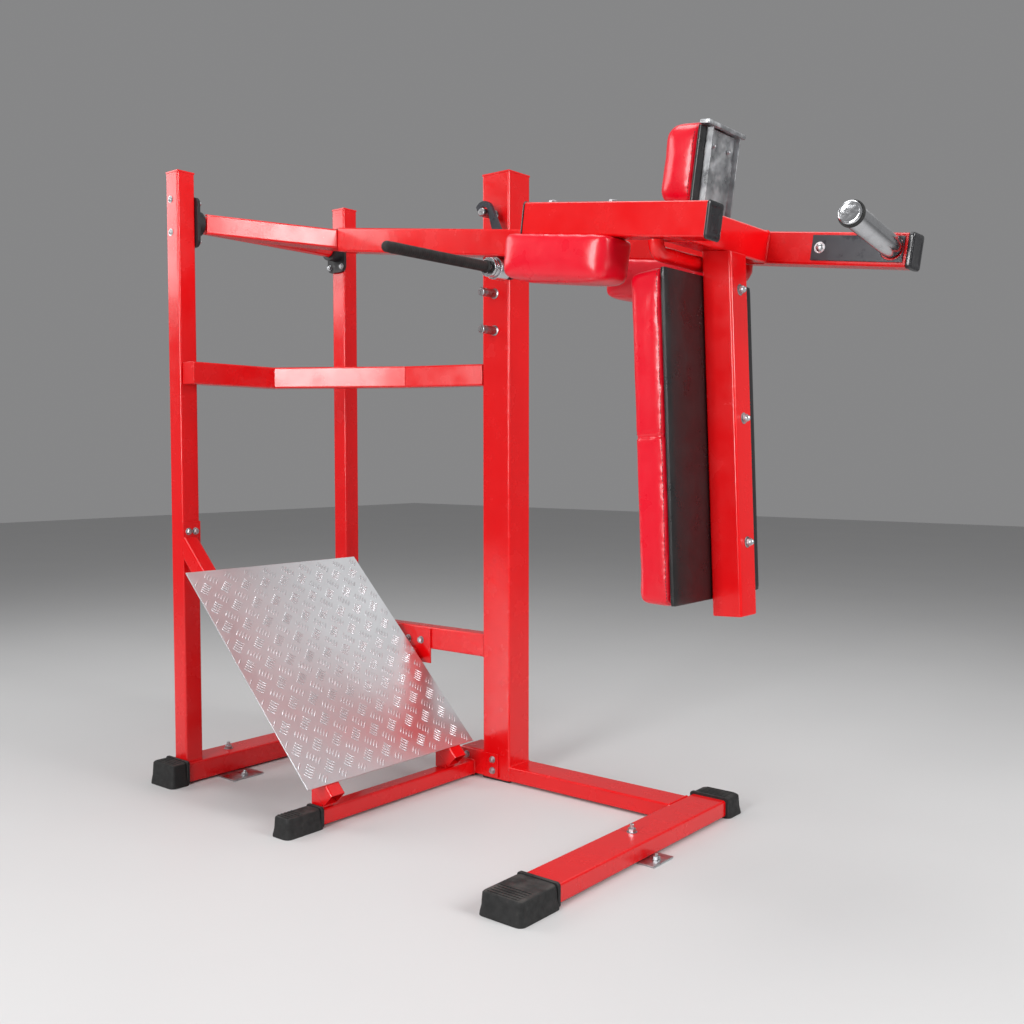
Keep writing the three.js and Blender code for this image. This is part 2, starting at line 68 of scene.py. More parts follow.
# ---- places, from the CAD nodes ----
def local_box(node, turn=WORLD):
    """Lowest and highest corner of a CAD node in the turned frame."""
    back = turn.inverted()
    points = [back @ vertex.co for vertex in frame["nodes"][node].data.vertices]
    low = Vector(min(point[axis] for point in points) for axis in range(3))
    high = Vector(max(point[axis] for point in points) for axis in range(3))
    return low, high


# ---- materials ----
class Look:
    """A Principled material and short ways to add the nodes round it."""

    def __init__(self, name, color, roughness, metallic=0.0, **sockets):
        self.material = bpy.data.materials.new(name)
        self.material.use_nodes = True
        self.tree = self.material.node_tree
        self.shader = self.tree.nodes["Principled BSDF"]
        self.color = color
        self.shader.inputs["Base Color"].default_value = (*color, 1)
        self.shader.inputs["Roughness"].default_value = roughness
        self.shader.inputs["Metallic"].default_value = metallic
        for socket, value in sockets.items():
            self.shader.inputs[socket.replace("_", " ")].default_value = value
        self.place = self.node("ShaderNodeTexCoord").outputs["Object"]
        self.heights = []

    def node(self, kind, **settings):
        made = self.tree.nodes.new(kind)
        for key, value in settings.items():
            setattr(made, key, value)
        return made

    def join(self, output, socket):
        self.tree.links.new(output, socket)

    def noise(self, scale, detail=4.0, stretch=None):
        made = self.node("ShaderNodeTexNoise")
        made.inputs["Scale"].default_value = scale
        made.inputs["Detail"].default_value = detail
        self.join(self.stretched(stretch), made.inputs["Vector"])
        return made.outputs["Fac"]

    def stretched(self, stretch):
        if stretch is None:
            return self.place
        mapping = self.node("ShaderNodeMapping")
        mapping.inputs["Scale"].default_value = stretch
        self.join(self.place, mapping.inputs["Vector"])
        return mapping.outputs["Vector"]

    def cells(self, scale, feature="F1", output="Distance"):
        made = self.node("ShaderNodeTexVoronoi", feature=feature)
        made.inputs["Scale"].default_value = scale
        self.join(self.place, made.inputs["Vector"])
        return made.outputs[output]

    def span(self, value, low, high, to_low, to_high):
        made = self.node("ShaderNodeMapRange")
        names = ("From Min", "From Max", "To Min", "To Max")
        for socket, number in zip(names, (low, high, to_low, to_high)):
            made.inputs[socket].default_value = number
        self.join(value, made.inputs["Value"])
        return made.outputs["Result"]

    def times(self, first, second):
        made = self.node("ShaderNodeMath", operation="MULTIPLY")
        self.join(first, made.inputs[0])
        self.join(second, made.inputs[1])
        return made.outputs[0]

    def tint(self, amount, color):
        """Mixes the base colour so far towards another where amount is 1."""
        made = self.node("ShaderNodeMix", data_type="RGBA")
        socket = self.shader.inputs["Base Color"]
        if socket.links:
            self.join(socket.links[0].from_socket, made.inputs["A"])
        else:
            made.inputs["A"].default_value = (*self.color, 1)
        made.inputs["B"].default_value = (*color, 1)
        self.join(amount, made.inputs["Factor"])
        self.join(made.outputs["Result"], socket)

    def rough(self, value):
        self.join(value, self.shader.inputs["Roughness"])

    def bump(self, height, strength, distance):
        made = self.node("ShaderNodeBump")
        made.inputs["Strength"].default_value = strength
        made.inputs["Distance"].default_value = distance
        self.join(height, made.inputs["Height"])
        socket = self.shader.inputs["Normal"]
        if socket.links:
            self.join(socket.links[0].from_socket, made.inputs["Normal"])
        self.join(made.outputs["Normal"], socket)


def upward(look):
    """1 on faces that look up, where dust settles."""
    normal = look.node("ShaderNodeNewGeometry").outputs["Normal"]
    parts = look.node("ShaderNodeSeparateXYZ")
    look.join(normal, parts.inputs[0])
    return look.span(parts.outputs["Z"], 0.6, 1.0, 0.0, 1.0)


def powder_coat():
    look = Look("red_powder_coat", (0.72, 0.001, 0.003), 0.28, Coat_Weight=0.25, Coat_Roughness=0.08)
    look.tint(look.span(look.noise(2.2), 0.35, 0.75, 0.0, 0.5), (0.58, 0.001, 0.002))
    dust = look.times(upward(look), look.span(look.noise(34, 8), 0.52, 0.74, 0.0, 0.08))
    look.tint(dust, (0.62, 0.05, 0.04))
    look.rough(look.span(look.noise(14, 8), 0.3, 0.7, 0.16, 0.32))
    look.bump(look.noise(420, 2), 0.10, 0.0005)
    look.bump(look.noise(40, 2), 0.02, 0.001)
    return look.material


def vinyl(name, color, deep, shine):
    look = Look(name, color, 0.33, Coat_Weight=shine, Coat_Roughness=0.18, Specular_IOR_Level=0.4)
    look.tint(look.span(look.noise(5, 6), 0.4, 0.75, 0.0, 0.6), deep)
    look.tint(look.span(look.cells(620, "DISTANCE_TO_EDGE"), 0.0, 0.09, 0.40, 0.0), deep)
    look.rough(look.span(look.noise(22, 8), 0.3, 0.7, 0.24, 0.40))
    look.bump(look.cells(620, "DISTANCE_TO_EDGE"), 0.30, 0.0005)
    look.bump(look.noise(150, 3), 0.14, 0.001)
    look.bump(look.noise(16, 3, (1, 1, 0.45)), 0.16, 0.006)
    return look.material


def rubber():
    look = Look("boot_rubber", (0.012, 0.012, 0.012), 0.7, Specular_IOR_Level=0.4)
    dust = look.times(upward(look), look.span(look.noise(26, 9), 0.4, 0.75, 0.05, 0.7))
    look.tint(dust, (0.09, 0.085, 0.08))
    look.tint(look.span(look.noise(70, 6), 0.58, 0.8, 0.0, 0.5), (0.04, 0.038, 0.036))
    look.rough(look.span(look.noise(60, 6), 0.3, 0.7, 0.5, 0.85))
    look.bump(look.noise(900, 3), 0.25, 0.0006)
    look.bump(look.noise(60, 5), 0.2, 0.0015)
    return look.material


def black_plastic():
    look = Look("black_plastic", (0.008, 0.008, 0.010), 0.25, Coat_Weight=0.3, Coat_Roughness=0.15)
    look.tint(look.span(look.noise(90, 8), 0.6, 0.75, 0.0, 0.5), (0.05, 0.05, 0.052))
    look.rough(look.span(look.noise(30, 8), 0.3, 0.7, 0.16, 0.42))
    look.bump(look.noise(700, 2), 0.12, 0.0004)
    return look.material


def black_paint(name, color, rough):
    look = Look(name, color, rough)
    look.tint(look.span(look.noise(60, 8), 0.6, 0.8, 0.0, 0.4), (0.035, 0.035, 0.037))
    look.rough(look.span(look.noise(40, 8), 0.3, 0.7, rough - 0.1, rough + 0.15))
    look.bump(look.noise(500, 3), 0.2, 0.0006)
    return look.material


def cast_iron():
    look = Look("black_cast_iron", (0.014, 0.014, 0.016), 0.45, 0.2)
    look.tint(look.span(look.noise(80, 8), 0.6, 0.78, 0.0, 0.6), (0.06, 0.056, 0.052))
    look.rough(look.span(look.noise(50, 8), 0.3, 0.7, 0.35, 0.6))
    look.bump(look.noise(260, 6), 0.5, 0.0015)
    return look.material


def chrome():
    look = Look("chrome_steel", (0.72, 0.73, 0.75), 0.12, 1.0)
    rings = look.noise(5, 8, (18, 160, 18))
    look.tint(look.span(look.noise(30, 9), 0.55, 0.75, 0.0, 0.5), (0.42, 0.42, 0.43))
    look.rough(look.span(rings, 0.3, 0.7, 0.07, 0.3))
    look.bump(rings, 0.10, 0.0004)
    return look.material


def dull_steel():
    look = Look("peg_steel", (0.33, 0.33, 0.34), 0.3, 1.0)
    look.tint(look.span(look.noise(40, 9), 0.5, 0.75, 0.0, 0.6), (0.14, 0.14, 0.145))
    look.rough(look.span(look.noise(6, 8, (20, 160, 20)), 0.3, 0.7, 0.2, 0.42))
    look.bump(look.noise(6, 8, (20, 160, 20)), 0.12, 0.0004)
    return look.material


def zinc():
    look = Look("galvanised_steel", (0.55, 0.56, 0.57), 0.35, 1.0)
    look.tint(look.span(look.cells(70, output="Distance"), 0.1, 0.7, 0.0, 0.6), (0.36, 0.37, 0.39))
    look.tint(look.span(look.noise(42, 9), 0.55, 0.75, 0.0, 0.7), (0.24, 0.24, 0.25))
    look.rough(look.span(look.noise(30, 9), 0.3, 0.7, 0.22, 0.55))
    look.bump(look.noise(240, 5), 0.2, 0.0006)
    return look.material


def tread_metal():
    look = Look("tread_aluminium", (0.80, 0.81, 0.83), 0.28, 1.0)
    look.tint(look.span(look.noise(4, 4), 0.4, 0.7, 0.0, 0.25), (0.68, 0.69, 0.71))
    look.rough(look.span(look.noise(9, 4), 0.3, 0.7, 0.30, 0.38))
    look.bump(look.noise(900, 2), 0.04, 0.0002)
    return look.material


def thread():
    look = Look("thread", (0.012, 0.010, 0.011), 0.6)
    look.tint(look.span(look.noise(900, 3), 0.4, 0.7, 0.0, 0.7), (0.05, 0.02, 0.025))
    look.bump(look.noise(1800, 2), 0.4, 0.0004)
    return look.material


def studio_floor():
    look = Look("studio_floor", (0.60, 0.60, 0.60), 0.55)
    look.tint(look.span(look.noise(1.5, 5), 0.35, 0.7, 0.0, 0.3), (0.56, 0.56, 0.565))
    look.bump(look.noise(160, 4), 0.05, 0.001)
    return look.material


RED = powder_coat()
CLOTH_GRID = 0.0055
CLOTH_PRESSURE = 4.0
CLOTH_FRAMES = 20
TIGHTNESS = 14                              # rounds of smoothing that stretch the cover over its foam
CLOTH_CAP = 0.005
CLOTH_ROOM = 0.004                          # start shape's distance inside the finished cushion
VINYL = vinyl("red_vinyl", (0.74, 0.001, 0.018), (0.60, 0.001, 0.010), 0.35)
BLACK_VINYL = vinyl("black_board", (0.012, 0.012, 0.013), (0.006, 0.006, 0.006), 0.1)
RUBBER = rubber()
PLASTIC = black_plastic()
GUARD = black_paint("black_steel", (0.012, 0.014, 0.022), 0.3)
IRON = cast_iron()
CHROME = chrome()
STEEL = dull_steel()
ZINC = zinc()
TREAD = tread_metal()
THREAD = thread()


# ---- making pieces ----
def add_piece(name, points, faces, material, body, sharp=40):
    mesh = bpy.data.meshes.new(name)
    mesh.from_pydata([tuple(point) for point in points], [], faces)
    mesh.materials.append(material)
    work = bmesh.new()
    work.from_mesh(mesh)
    bmesh.ops.remove_doubles(work, verts=work.verts, dist=1e-6)
    bmesh.ops.recalc_face_normals(work, faces=work.faces)
    work.to_mesh(mesh)
    work.free()
    piece = bpy.data.objects.new(name, mesh)
    bpy.context.collection.objects.link(piece)
    soften(piece, sharp)
    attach(piece, body)
    return piece


def soften(piece, sharp):
    """Smooth shading with sharp edges kept, and flat faces kept flat."""
    mesh = piece.data
    mesh.polygons.foreach_set("use_smooth", [True] * len(mesh.polygons))
    mesh.set_sharp_from_angle(angle=math.radians(sharp))
    weighted = piece.modifiers.new("flat faces", "WEIGHTED_NORMAL")
    weighted.keep_sharp = True


def outline(width, height, radius, steps=5):
    """A rounded rectangle about the origin, as 2D points anticlockwise."""
    points = []
    for quarter, (sx, sy) in enumerate(((1, 1), (-1, 1), (-1, -1), (1, -1))):
        centre = Vector((sx * (width / 2 - radius), sy * (height / 2 - radius)))
        for step in range(steps + 1):
            angle = (quarter + step / steps) * math.pi / 2
            points.append(centre + radius * Vector((math.cos(angle), math.sin(angle))))
    return points


def circle(radius, steps=24, flats=0):
    """A round outline, or a polygon when flats is given."""
    count = flats or steps
    return [Vector((radius * math.cos(2 * math.pi * i / count), radius * math.sin(2 * math.pi * i / count)))
            for i in range(count)]


def basis(at, direction, spin=0.0):
    """A matrix at a point whose Z runs along direction."""
    turn = Vector(direction).to_track_quat("Z", "Y").to_matrix().to_4x4()
    return Matrix.Translation(Vector(at)) @ turn @ Matrix.Rotation(spin, 4, "Z")


def lofted(levels, matrix=WORLD):
    """Points and faces of a skin over (outline, height) levels, closed at both ends."""
    points = [matrix @ Vector((*point, height)) for ring, height in levels for point in ring]
    count = len(levels[0][0])
    faces = []
    for level in range(len(levels) - 1):
        for i in range(count):
            j = (i + 1) % count
            a, b = level * count, (level + 1) * count
            faces.append((a + i, a + j, b + j, b + i))
    faces.append(tuple(reversed(range(count))))
    last = (len(levels) - 1) * count
    faces.append(tuple(last + i for i in range(count)))
    return points, faces


def gather(shapes):
    """Joins several (points, faces) pairs into one."""
    points = []
    faces = []
    for shape_points, shape_faces in shapes:
        start = len(points)
        points.extend(shape_points)
        faces.extend(tuple(start + index for index in face) for face in shape_faces)
    return points, faces


# ---- steel carried over from the CAD ----
def steel(node, material):
    """Gives a CAD node its material, and rounds its long edges a little."""
    piece = frame["nodes"][node]
    piece.data.materials.clear()
    piece.data.materials.append(material)
    piece.data.polygons.foreach_set("use_smooth", [True] * len(piece.data.polygons))
    weld = piece.modifiers.new("weld", "WELD")
    weld.merge_threshold = 1e-5
    rounding = piece.modifiers.new("edge", "BEVEL")
    rounding.limit_method = "ANGLE"
    rounding.angle_limit = math.radians(60)
    rounding.width = STEEL_EDGE
    rounding.segments = 2
    rounding.use_clamp_overlap = True
    weighted = piece.modifiers.new("flat faces", "WEIGHTED_NORMAL")
    weighted.keep_sharp = True


def carried_steel():
    special = {
        "foot_plate": TREAD, "front_anchor_tab": ZINC, "rear_anchor_tab": ZINC, "bearing_near": IRON,
        "bearing_far": IRON, "hook_plate": GUARD, "horn_guard_plate": GUARD, "handle_rod": CHROME,
        "handle_bearing": CHROME, "side_post_foot": RUBBER,
    }
    for entry in frame["record"]["subparts"]:
        node = entry["node"]
        if node in special:
            steel(node, special[node])
        elif entry["material_slot"] == "red_powder_coat":
            steel(node, RED)


# ---- cushions ----
def block(size, radius, spacing):
    """Points and faces of a round-edged block with one corner at the origin, meshed in squares."""
    counts = [max(2, round(side / spacing)) for side in size]
    points = []
    faces = []
    for axis in range(3):
        u, v = (axis + 1) % 3, (axis + 2) % 3
        for end in (0, 1):
            start = len(points)
            for i in range(counts[u] + 1):
                for j in range(counts[v] + 1):
                    point = Vector((0, 0, 0))
                    point[axis] = end * size[axis]
                    point[u] = size[u] * i / counts[u]
                    point[v] = size[v] * j / counts[v]
                    points.append(round_off(point, size, radius))
            row = counts[v] + 1
            for i in range(counts[u]):
                for j in range(counts[v]):
                    a = start + i * row + j
                    faces.append((a, a + row, a + row + 1, a + 1))
    return points, faces


def round_off(point, size, radius):
    inner = Vector(min(max(point[axis], radius), size[axis] - radius) for axis in range(3))
    off = point - inner
    return inner + off.normalized() * radius if off.length > 1e-9 else point


def solid(name, points, faces):
    """A closed mesh object from points and faces, remade as an even grid ready for cloth."""
    mesh = bpy.data.meshes.new(name)
    mesh.from_pydata([tuple(point) for point in points], [], faces)
    work = bmesh.new()
    work.from_mesh(mesh)
    bmesh.ops.remove_doubles(work, verts=work.verts, dist=1e-6)
    bmesh.ops.recalc_face_normals(work, faces=work.faces)
    work.to_mesh(mesh)
    work.free()
    piece = bpy.data.objects.new(name, mesh)
    bpy.context.collection.objects.link(piece)
    grid = piece.modifiers.new("grid", "REMESH")
    grid.mode = "VOXEL"
    grid.voxel_size = CLOTH_GRID
    applied(piece)
    return piece


def applied(piece):
    """Turns the piece's modifiers into its mesh."""
    depsgraph = bpy.context.evaluated_depsgraph_get()
    made = bpy.data.meshes.new_from_object(piece.evaluated_get(depsgraph), depsgraph=depsgraph)
    piece.modifiers.clear()
    piece.data = made


def swollen(piece, held, cap):
    """Cloth under pressure: held points stay where they are, and none moves further than the cap."""
    start = [vertex.co.copy() for vertex in piece.data.vertices]
    group = piece.vertex_groups.new(name="held")
    group.add([index for index, point in enumerate(start) if held(point)], 1.0, "REPLACE")
    cloth = piece.modifiers.new("cloth", "CLOTH")
    cloth.settings.vertex_group_mass = "held"
    cloth.settings.use_pressure = True
    cloth.settings.uniform_pressure_force = CLOTH_PRESSURE
    cloth.settings.effector_weights.gravity = 0
    scene = bpy.context.scene
    for moment in range(1, CLOTH_FRAMES + 1):
        scene.frame_set(moment)
    depsgraph = bpy.context.evaluated_depsgraph_get()
    moved = [vertex.co.copy() for vertex in piece.evaluated_get(depsgraph).data.vertices]
    piece.modifiers.remove(cloth)
    piece.vertex_groups.remove(group)
    scene.frame_set(1)
    for vertex, before, after in zip(piece.data.vertices, start, moved):
        off = after - before
        if off.length > 1e-7:
            vertex.co = before + off.normalized() * cap * (1 - math.exp(-off.length / cap))
    tight = piece.modifiers.new("tight", "SMOOTH")
    tight.factor = 0.5
    tight.iterations = TIGHTNESS
    applied(piece)


def fitted(piece, turn, low, high):
    """Scales the swollen shape so it just fills the box its CAD solid holds."""
    back = turn.inverted()
    places = [back @ vertex.co for vertex in piece.data.vertices]
    least = [min(place[axis] for place in places) for axis in range(3)]
    most = [max(place[axis] for place in places) for axis in range(3)]
    for vertex, place in zip(piece.data.vertices, places):
        share = [(place[axis] - least[axis]) / (most[axis] - least[axis]) for axis in range(3)]
        vertex.co = turn @ Vector(low[axis] + share[axis] * (high[axis] - low[axis]) for axis in range(3))


def sewn(piece, turn, sunk):
    """One subdivision, then each point sinks along its normal by sunk(place in the turned frame)."""
    smooth = piece.modifiers.new("smooth", "SUBSURF")
    smooth.levels = 1
    smooth.render_levels = 1
    applied(piece)
    back = turn.inverted()
    normals = [vertex.normal.copy() for vertex in piece.data.vertices]
    for vertex, normal in zip(piece.data.vertices, normals):
        vertex.co -= normal * sunk(back @ vertex.co)


def cushion_finish(piece, node):
    piece.data.materials.clear()
    piece.data.materials.append(VINYL)
    piece.data.polygons.foreach_set("use_smooth", [True] * len(piece.data.polygons))
    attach(piece, "lever_arm")
    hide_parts(node)


def slack(place):
    """Fine unevenness of vinyl over foam."""
    return noise.noise(place * 18) * 0.0004 + noise.noise(place * 75) * 0.00012


def puckers(place, off, reach):
    """Small gathers beside a stitched rim, fading over the reach."""
    return (0.0005 + 0.0010 * noise.noise(place * 95)) * math.exp(-(off / reach) ** 2)


def boarded_pad(name, node, turn, thick, radius, seams=()):
    """A sewn pad whose high-x side lies flat on a board."""
    low, high = local_box(node, turn)
    high.x = low.x + thick
    size = high - low
    inset = CLOTH_ROOM
    slim = Vector((size.x - inset + radius, size.y - 2 * inset, size.z - 2 * inset))
    raw, faces = block(slim, radius, 0.010)
    flat = size.x - inset
    corner = low + Vector((inset, inset, inset))
    points = [turn @ (corner + Vector((min(point.x, flat), point.y, point.z))) for point in raw]
    piece = solid(name, points, faces)
    back = turn.inverted()
    swollen(piece, lambda point: (back @ point).x > high.x - 0.006, CLOTH_CAP)
    fitted(piece, turn, low, high)

    def sunk(place):
        depth = slack(place)
        if high.x - place.x > 0.0015:
            depth += puckers(place, high.x - place.x - 0.006, 0.010)
        for share, deep, wide in seams:
            off = place.z - (low.z + share * size.z)
            gather = 1 + 0.3 * math.sin(place.y * 900) * math.exp(-(off / 0.012) ** 2)
            depth += deep * gather * math.exp(-(off / wide) ** 2)
        return depth

    sewn(piece, turn, sunk)
    cushion_finish(piece, node)
    return piece, low, high


def board(name, low, high, turn, body, replaced, radius=0.006):
    """A thin backing board with a black cover and round edges."""
    raw, faces = block(high - low, radius, 0.012)
    points = [turn @ (low + point) for point in raw]
    piece = add_piece(name, points, faces, BLACK_VINYL, body)
    if replaced:
        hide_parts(replaced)
    return piece


def stitch_row(name, piece, route, body):
    """Thread stitches along a route, each laid on the piece's surface."""
    depsgraph = bpy.context.evaluated_depsgraph_get()
    tree = BVHTree.FromObject(piece, depsgraph)
    shapes = []
    for start, end in zip(route, route[1:]):
        run = end - start
        count = max(1, int(run.length / (STITCH + STITCH_GAP)))
        for i in range(count):
            a = start + run * (i / count)
            b = a + run.normalized() * STITCH
            on_a, normal, _, _ = tree.find_nearest(a)
            on_b, _, _, _ = tree.find_nearest(b)
            if on_a is None or on_b is None or (on_b - on_a).length < 1e-4:
                continue
            shapes.append(capsule(on_a - normal * STITCH_SUNK, on_b - normal * STITCH_SUNK, 0.0007))
    points, faces = gather(shapes)
    return add_piece(name, points, faces, THREAD, body)


def capsule(start, end, radius):
    length = (end - start).length
    levels = [(circle(radius * r, 6), h) for r, h in
              ((0.3, -radius * 0.6), (1, 0), (1.15, length / 2), (1, length), (0.3, length + radius * 0.6))]
    return lofted(levels, basis(start, end - start))


def back_rest():
    seam = 0.505
    cushion, low, high = boarded_pad("back_cushion", "back_pad", BACK, 0.088, 0.020,
                                     ((seam, 0.0032, 0.0042), (seam + 0.014, 0.0010, 0.0030)))
    board_front = local_box("back_board", BACK)[1].x
    edge = 0.003
    board("back_backing", Vector((high.x + 0.0003, low.y + edge, low.z + edge)),
          Vector((board_front, high.y - edge, high.z - edge)), BACK, "lever_arm", "back_board")
    rim = rim_route(low, high, high.x - 0.006, 0.024)
    stitch_row("back_stitches", cushion, [BACK @ point for point in rim], "lever_arm")
    seam_z = low.z + seam * (high.z - low.z)
    for name, z in (("low", seam_z - 0.004), ("high", seam_z + 0.004)):
        across = [Vector((low.x, low.y, z)), Vector((low.x, high.y, z))]
        stitch_row(f"back_seam_stitches_{name}", cushion, [BACK @ point for point in across], "lever_arm")


def rim_route(low, high, x, radius):
    """A rounded loop round the pad's sides at thickness x."""
    centre = (low + high) / 2
    ring = outline(high.y - low.y, high.z - low.z, radius, 4)
    ring.append(ring[0])
    return [Vector((x, centre.y + point.x, centre.z + point.y)) for point in ring]


def head_rest():
    board_thick = 0.008
    front = local_box("head_rest", ARM)[1].x
    thick = front - local_box("head_rest", ARM)[0].x - board_thick
    cushion, low, high = boarded_pad("head_cushion", "head_rest", ARM, thick, 0.036)
    edge = 0.003
    board("head_backing", Vector((high.x + 0.0003, low.y + edge, low.z + edge)),
          Vector((front, high.y - edge, high.z - 0.014)), ARM, "lever_arm", None, 0.003)
    rim = rim_route(low, high, high.x - 0.006, 0.026)
    stitch_row("head_stitches", cushion, [ARM @ point for point in rim], "lever_arm")


def shoulder_pads():
    """Thick pads right under the beams: rounded in plan, softer round the lower rim, and flat on top."""
    plan_radius = 0.034
    profile = ((0.020, 0.0), (0.012, 0.0022), (0.006, 0.006), (0.0022, 0.012), (0.0004, 0.022), (0.0, 0.034),
               (0.0, 0.052), (0.0, 0.070), (0.0, 0.084), (0.0008, 0.092), (0.0024, 0.097),
               (0.0050, 0.0995))
    for side in ("near", "far"):
        node = f"shoulder_pad_{side}"
        low, high = local_box(node, ARM)
        size = high - low
        middle = (low + high) / 2
        levels = []
        for inset, height in profile:
            inset += CLOTH_ROOM
            ring = outline(size.x - 2 * inset, size.y - 2 * inset, plan_radius - inset * 0.7, 8)
            ring = subdivided(ring, 0.011)
            placed = [Vector((middle.x + p.x, middle.y + p.y)) for p in ring]
            levels.append((placed, low.z + CLOTH_ROOM + height))
        points, faces = pillow(levels, middle)
        piece = solid(f"shoulder_cushion_{side}", [ARM @ point for point in points], faces)
        back = ARM.inverted()
        top = low.z + CLOTH_ROOM + profile[-1][1] - 0.004
        swollen(piece, lambda point: (back @ point).z > top, CLOTH_CAP)
        fitted(piece, ARM, low, high)
        sewn(piece, ARM, slack)
        cushion_finish(piece, node)


def subdivided(ring, spacing):
    """The same closed outline with no gap between points wider than the spacing."""
    made = []
    for start, end in zip(ring, ring[1:] + ring[:1]):
        steps = max(1, round((end - start).length / spacing))
        made.extend(start.lerp(end, step / steps) for step in range(steps))
    return made


def pillow(levels, middle):
    """A skin over the levels, its two ends filled by shrinking rings."""
    shrinks = (0.75, 0.5, 0.25)
    first_ring, first_height = levels[0]
    last_ring, last_height = levels[-1]
    centre = Vector((middle.x, middle.y))
    inner_low = [([centre.lerp(p, share) for p in first_ring], first_height) for share in reversed(shrinks)]
    inner_high = [([centre.lerp(p, share) for p in last_ring], last_height) for share in shrinks]
    return lofted(inner_low + list(levels) + inner_high)


# ---- foot plate ----
def tread_bars():
    """Groups of five raised bars on a square lattice, at 45 degrees one way and then the other."""
    low, high = local_box("foot_plate", RAMP)
    pitch = 0.071
    margin = 0.002
    shapes = []
    rows = int((high.x - low.x) / pitch * 2) + 3
    columns = int((high.y - low.y) / pitch) + 2
    for row in range(rows):
        for column in range(columns):
            shift = 0.5 * (row % 2)
            x = low.x + (row * 0.5 - 0.056) * pitch
            y = low.y + (column + shift - 0.487) * pitch
            angle = math.radians(135 if row % 2 else 45)
            shapes.extend(five_bars(Vector((x, y)), angle, low, high, margin))
    points, faces = gather(shapes)
    placed = [RAMP @ Vector((point.x, point.y, high.z + point.z)) for point in points]
    add_piece("tread_bars", placed, faces, TREAD, "frame", sharp=80)


def five_bars(centre, angle, low, high, margin):
    along = Vector((math.cos(angle), math.sin(angle)))
    across = Vector((-along.y, along.x))
    for index in range(-2, 3):
        middle = centre + across * index * BAR_STEP
        ends = [middle + along * BAR_HALF * side for side in (-1, 1)]
        if all(low[k] + margin < end[k] < high[k] - margin for end in ends for k in (0, 1)):
            yield bar(middle, along, across)


BAR_RISE = ((1.0, -0.0002), (0.93, 0.35 * BAR_HEIGHT), (0.72, 0.8 * BAR_HEIGHT), (0.45, BAR_HEIGHT))


def bar(middle, along, across):
    """One lens-shaped raised bar: a pointed outline rising to a rounded ridge."""
    rings = []
    for scale, height in BAR_RISE:
        ring = []
        for step in range(12):
            angle = 2 * math.pi * step / 12
            reach = math.cos(angle) * BAR_HALF * (0.55 + 0.45 * scale)
            side = math.sin(angle) * BAR_HALF_WIDTH * scale * (1 - 0.25 * abs(math.cos(angle)))
            ring.append(middle + along * reach + across * side)
        rings.append((ring, height))
    return lofted(rings)


# ---- rubber boots and plastic caps ----
def boot(node, open_side):
    """A moulded rubber shoe that spreads at the floor, with ribs across its outer end."""
    low, high = local_box(node)
    centre = (low + high) / 2
    width = high.x - low.x
    length = high.y - low.y
    tall = high.z - low.z
    flare = 0.007
    levels = []
    profile = ((flare - 0.002, 0), (flare, 0.003), (flare * 0.9, 0.10), (flare * 0.35, 0.4), (0.001, 0.75),
               (0, 0.92), (-0.0025, 0.975), (-0.007, 1.0))
    for grow, share in profile:
        long_side = length + 2 * max(grow, -0.003) - 2 * flare
        ring = outline(width + 2 * grow, long_side, 0.010 + max(0, grow), 5)
        levels.append(([point + Vector((centre.x, centre.y)) for point in ring], low.z + share * tall))
    shapes = [lofted(levels)]
    outer = -open_side
    for index in range(5):
        y = centre.y + outer * (length / 2 - 0.016 - index * 0.011)
        shapes.append(rib(centre.x, y, high.z, width * 0.78))
    mouth = centre.y + open_side * (length / 2 - 0.005)
    lip = outline(width + 0.006, tall + 0.004, 0.009, 4)
    lip_levels = [([point * scale for point in lip], height) for scale, height in
                  ((0.97, -0.005), (1.0, -0.0035), (1.0, 0.0035), (0.97, 0.005))]
    mouth_centre = Matrix.Translation((centre.x, mouth, low.z + tall / 2 + 0.0015))
    across = mouth_centre @ Matrix.Rotation(math.pi / 2, 4, "X")
    shapes.append(lofted(lip_levels, across))
    points, faces = gather(shapes)
    for point in points:
        point.z = max(point.z, 0.0)
    piece = add_piece(f"{node}_shoe", points, faces, RUBBER, "frame", sharp=50)
    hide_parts(node)


def rib(x, y, z, width):
    ring = outline(width, 0.005, 0.0024, 3)
    levels = [([point * scale + Vector((x, y)) for point in ring], z + height)
              for scale, height in ((1, -0.004), (1, 0.0006), (0.96, 0.0016))]
    return lofted(levels)


def end_cap(node, turn, outward, body):
    """A domed plastic plug with a raised flange, closing a square tube along local x."""
    low, high = local_box(node, turn)
    centre = (low + high) / 2
    tall = high.z - low.z
    wide = high.y - low.y
    depth = high.x - low.x
    grow = 0.0022
    start = -depth / 2
    end = depth / 2
    profile = ((0.0, start), (grow * 0.6, start + 0.0004), (grow, start + 0.0015), (grow, end - 0.003),
               (0.0, end - 0.0008), (-0.006, end), (-0.010, end - 0.0006), (-0.013, end - 0.0016))
    levels = [(outline(tall + 2 * g, wide + 2 * g, max(0.002, 0.007 + g), 5), h) for g, h in profile]
    place = turn @ Matrix.Translation(centre) @ Matrix.Rotation(outward * math.pi / 2, 4, "Y")
    points, faces = lofted(levels, place)
    piece = add_piece(f"{node}_plug", points, faces, PLASTIC, body, sharp=50)
    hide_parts(node)


# ---- fasteners ----
def washer(at, direction, radius, thick=0.0016):
    levels = [(circle(radius * scale, 28), height) for scale, height in
              ((0.97, 0), (1, 0.0004), (1, thick - 0.0004), (0.97, thick))]
    return lofted(levels, basis(at, direction))


def hex_part(at, direction, flats, height, spin=0.3):
    radius = flats / math.sqrt(3)
    levels = [(circle(radius * scale, flats=6), level) for scale, level in
              ((0.93, 0), (1, 0.0006), (1, height - 0.0012), (0.88, height))]
    return lofted(levels, basis(at, direction, spin))


